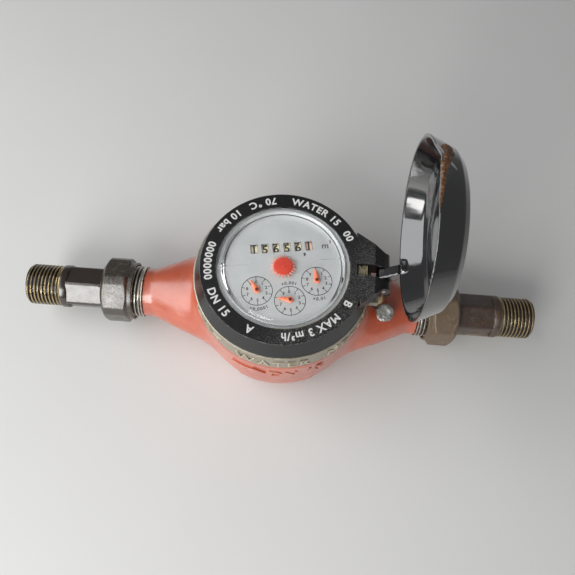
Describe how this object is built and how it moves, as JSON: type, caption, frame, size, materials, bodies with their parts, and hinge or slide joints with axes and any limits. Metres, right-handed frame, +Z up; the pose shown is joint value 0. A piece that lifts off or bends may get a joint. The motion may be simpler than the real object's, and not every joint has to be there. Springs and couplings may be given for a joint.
{
  "type": "water meter",
  "caption": "Domestic single-jet hot-water meter with a dry register, hinged lid and threaded union tailpieces.",
  "frame": {"origin": "middle of the flat base of the meter body, directly under the register axis", "axes": "+X along the pipe towards the outlet and the lid hinge, +Y away from the reading side, +Z up"},
  "size_m": [0.2614, 0.085, 0.1464],
  "materials": {
    "red_paint": "orange-red gloss paint over a cast brass body, slightly orange-peeled, worn thin at edges",
    "old_brass": "machined brass, tarnished brown",
    "dark_brass": "machined brass with dark patina and bright thread crests",
    "bronze_brass": "machined brass, mottled bronze brown",
    "nickel_brass": "dull nickel-plated brass",
    "black_plastic": "black moulded plastic, fine grain on top, satin on the flare",
    "clear_plastic": "clear moulded plastic window",
    "dial_silver": "matt silver-grey printed dial",
    "red_plastic": "bright red moulded plastic",
    "cream_plastic": "cream number rollers",
    "white_plastic": "white acetal gear plastic",
    "grey_plastic": "grey moulded plastic",
    "black_rubber": "black rubber seal",
    "fibre": "red-brown fibre gasket",
    "magnet": "dark sintered magnet",
    "steel": "bright steel",
    "can_metal": "deep-drawn register can",
    "lead": "crimped lead, dull grey with bright dents",
    "wire": "dark twisted sealing wire"
  },
  "bodies": {
    "meter": {"meter_body": "red_paint", "head_ring": "nickel_brass", "cover_ring": "black_plastic", "hinge_pin": "steel", "lens": "clear_plastic", "lens_gasket": "black_rubber", "dial_plate": "dial_silver", "inlet_tailpiece": "dark_brass", "outlet_tailpiece": "dark_brass", "inlet_gasket": "fibre", "outlet_gasket": "fibre", "seal_screw": "old_brass", "seal_wire": "wire", "lead_seal": "lead", "lower_bearing": "old_brass", "pressure_plate": "grey_plastic", "pressure_plate_o_ring": "black_rubber", "inlet_strainer": "grey_plastic", "register_cup": "can_metal", "lower_plate": "grey_plastic", "upper_plate": "grey_plastic", "pillars": "steel", "roller_shaft": "steel", "carry_shaft": "steel", "counter_frame": "grey_plastic"},
    "lid": {"lid": "black_plastic"},
    "inlet_nut": {"inlet_union_nut": "dark_brass"},
    "outlet_nut": {"outlet_union_nut": "bronze_brass"},
    "impeller": {"impeller": "white_plastic", "impeller_shaft": "steel", "impeller_magnet": "magnet"},
    "star": {"spindle": "white_plastic", "follower_magnet": "magnet", "star_indicator": "red_plastic"},
    "reduction": {"reduction_arbor": "white_plastic"},
    "dial_x0_0001": {"arbor_x0_0001": "white_plastic", "pointer_x0_0001": "red_plastic"},
    "idler_b": {"idler_b": "white_plastic"},
    "dial_x0_001": {"arbor_x0_001": "white_plastic", "pointer_x0_001": "red_plastic"},
    "idler_c": {"idler_c": "white_plastic"},
    "dial_x0_01": {"arbor_x0_01": "white_plastic", "pointer_x0_01": "red_plastic"},
    "idler_d": {"idler_d": "white_plastic"},
    "counter_drive": {"counter_drive_arbor": "white_plastic"},
    "roller_1": {"roller_1": "cream_plastic", "contrate_wheel": "white_plastic"},
    "roller_2": {"roller_2": "cream_plastic"},
    "roller_3": {"roller_3": "cream_plastic"},
    "roller_4": {"roller_4": "cream_plastic"},
    "roller_5": {"roller_5": "cream_plastic"},
    "roller_6": {"roller_6": "cream_plastic"},
    "carry_pinion_1": {"carry_pinion_1": "white_plastic"},
    "carry_pinion_2": {"carry_pinion_2": "white_plastic"},
    "carry_pinion_3": {"carry_pinion_3": "white_plastic"},
    "carry_pinion_4": {"carry_pinion_4": "white_plastic"},
    "carry_pinion_5": {"carry_pinion_5": "white_plastic"}
  },
  "joints": [
    {"name": "lid_hinge", "type": "hinge", "parent": "meter", "child": "lid", "pos_m": [0.0471, 0.0008, 0.0577], "axis": [0, -1, 0], "range_deg": [0, 88.7]},
    {"name": "inlet_nut_turn", "type": "hinge", "parent": "meter", "child": "inlet_nut", "pos_m": [-0.0835, 0, 0.02], "axis": [-1, 0, 0], "continuous": true},
    {"name": "outlet_nut_turn", "type": "hinge", "parent": "meter", "child": "outlet_nut", "pos_m": [0.0835, 0, 0.02], "axis": [1, 0, 0], "continuous": true},
    {"name": "impeller_spin", "type": "hinge", "parent": "meter", "child": "impeller", "pos_m": [0, 0, 0.02], "axis": [0, 0, 1], "continuous": true},
    {"name": "star_spin", "type": "hinge", "parent": "meter", "child": "star", "pos_m": [0, 0, 0.05], "axis": [0, 0, 1], "continuous": true},
    {"name": "reduction_spin", "type": "hinge", "parent": "meter", "child": "reduction", "pos_m": [-0.00708, -0.0044, 0.05], "axis": [0, 0, 1], "continuous": true},
    {"name": "dial_x0_0001_spin", "type": "hinge", "parent": "meter", "child": "dial_x0_0001", "pos_m": [-0.01119, -0.01273, 0.05], "axis": [0, 0, 1], "continuous": true},
    {"name": "idler_b_spin", "type": "hinge", "parent": "meter", "child": "idler_b", "pos_m": [-0.00482, -0.01657, 0.045], "axis": [0, 0, 1], "continuous": true},
    {"name": "dial_x0_001_spin", "type": "hinge", "parent": "meter", "child": "dial_x0_001", "pos_m": [0.00424, -0.01641, 0.05], "axis": [0, 0, 1], "continuous": true},
    {"name": "idler_c_spin", "type": "hinge", "parent": "meter", "child": "idler_c", "pos_m": [0.011, -0.0133, 0.045], "axis": [0, 0, 1], "continuous": true},
    {"name": "dial_x0_01_spin", "type": "hinge", "parent": "meter", "child": "dial_x0_01", "pos_m": [0.01596, -0.00571, 0.05], "axis": [0, 0, 1], "continuous": true},
    {"name": "idler_d_spin", "type": "hinge", "parent": "meter", "child": "idler_d", "pos_m": [0.01382, 0.00364, 0.045], "axis": [0, 0, 1], "continuous": true},
    {"name": "counter_drive_spin", "type": "hinge", "parent": "meter", "child": "counter_drive", "pos_m": [0.01718, 0.01335, 0.045], "axis": [0, 0, 1], "continuous": true},
    {"name": "roller_1_spin", "type": "hinge", "parent": "meter", "child": "roller_1", "pos_m": [0.01149, 0.01248, 0.0526], "axis": [0.9885, 0.1513, 0], "continuous": true},
    {"name": "roller_2_spin", "type": "hinge", "parent": "meter", "child": "roller_2", "pos_m": [0.00633, 0.01169, 0.0526], "axis": [0.9885, 0.1513, 0], "continuous": true},
    {"name": "roller_3_spin", "type": "hinge", "parent": "meter", "child": "roller_3", "pos_m": [0.00117, 0.0109, 0.0526], "axis": [0.9885, 0.1513, 0], "continuous": true},
    {"name": "roller_4_spin", "type": "hinge", "parent": "meter", "child": "roller_4", "pos_m": [-0.00399, 0.01011, 0.0526], "axis": [0.9885, 0.1513, 0], "continuous": true},
    {"name": "roller_5_spin", "type": "hinge", "parent": "meter", "child": "roller_5", "pos_m": [-0.00915, 0.00932, 0.0526], "axis": [0.9885, 0.1513, 0], "continuous": true},
    {"name": "roller_6_spin", "type": "hinge", "parent": "meter", "child": "roller_6", "pos_m": [-0.01431, 0.00853, 0.0526], "axis": [0.9885, 0.1513, 0], "continuous": true},
    {"name": "carry_pinion_1_spin", "type": "hinge", "parent": "meter", "child": "carry_pinion_1", "pos_m": [0.00784, 0.01911, 0.04929], "axis": [0.9885, 0.1513, 0], "continuous": true},
    {"name": "carry_pinion_2_spin", "type": "hinge", "parent": "meter", "child": "carry_pinion_2", "pos_m": [0.00268, 0.01832, 0.04929], "axis": [0.9885, 0.1513, 0], "continuous": true},
    {"name": "carry_pinion_3_spin", "type": "hinge", "parent": "meter", "child": "carry_pinion_3", "pos_m": [-0.00248, 0.01753, 0.04929], "axis": [0.9885, 0.1513, 0], "continuous": true},
    {"name": "carry_pinion_4_spin", "type": "hinge", "parent": "meter", "child": "carry_pinion_4", "pos_m": [-0.00764, 0.01674, 0.04929], "axis": [0.9885, 0.1513, 0], "continuous": true},
    {"name": "carry_pinion_5_spin", "type": "hinge", "parent": "meter", "child": "carry_pinion_5", "pos_m": [-0.0128, 0.01595, 0.04929], "axis": [0.9885, 0.1513, 0], "continuous": true}
  ],
  "couplings": [
    {"joint": "star_spin", "follows": "impeller_spin", "ratio": 1},
    {"joint": "reduction_spin", "follows": "impeller_spin", "ratio": -0.22222},
    {"joint": "dial_x0_0001_spin", "follows": "impeller_spin", "ratio": 0.05},
    {"joint": "idler_b_spin", "follows": "impeller_spin", "ratio": -0.016667},
    {"joint": "dial_x0_001_spin", "follows": "impeller_spin", "ratio": 0.005},
    {"joint": "idler_c_spin", "follows": "impeller_spin", "ratio": -0.0016667},
    {"joint": "dial_x0_01_spin", "follows": "impeller_spin", "ratio": 0.0005},
    {"joint": "idler_d_spin", "follows": "impeller_spin", "ratio": -0.0002},
    {"joint": "counter_drive_spin", "follows": "impeller_spin", "ratio": 0.0001},
    {"joint": "roller_1_spin", "follows": "impeller_spin", "ratio": -0.00005},
    {"joint": "roller_2_spin", "follows": "impeller_spin", "ratio": -0.000005},
    {"joint": "roller_3_spin", "follows": "impeller_spin", "ratio": -0.0000005},
    {"joint": "roller_4_spin", "follows": "impeller_spin", "ratio": -0.00000005},
    {"joint": "roller_5_spin", "follows": "impeller_spin", "ratio": -0.000000005},
    {"joint": "roller_6_spin", "follows": "impeller_spin", "ratio": -0.0000000005},
    {"joint": "carry_pinion_1_spin", "follows": "impeller_spin", "ratio": 0.0000125},
    {"joint": "carry_pinion_2_spin", "follows": "impeller_spin", "ratio": 0.00000125},
    {"joint": "carry_pinion_3_spin", "follows": "impeller_spin", "ratio": 0.000000125},
    {"joint": "carry_pinion_4_spin", "follows": "impeller_spin", "ratio": 0.0000000125},
    {"joint": "carry_pinion_5_spin", "follows": "impeller_spin", "ratio": 0.00000000125}
  ]
}
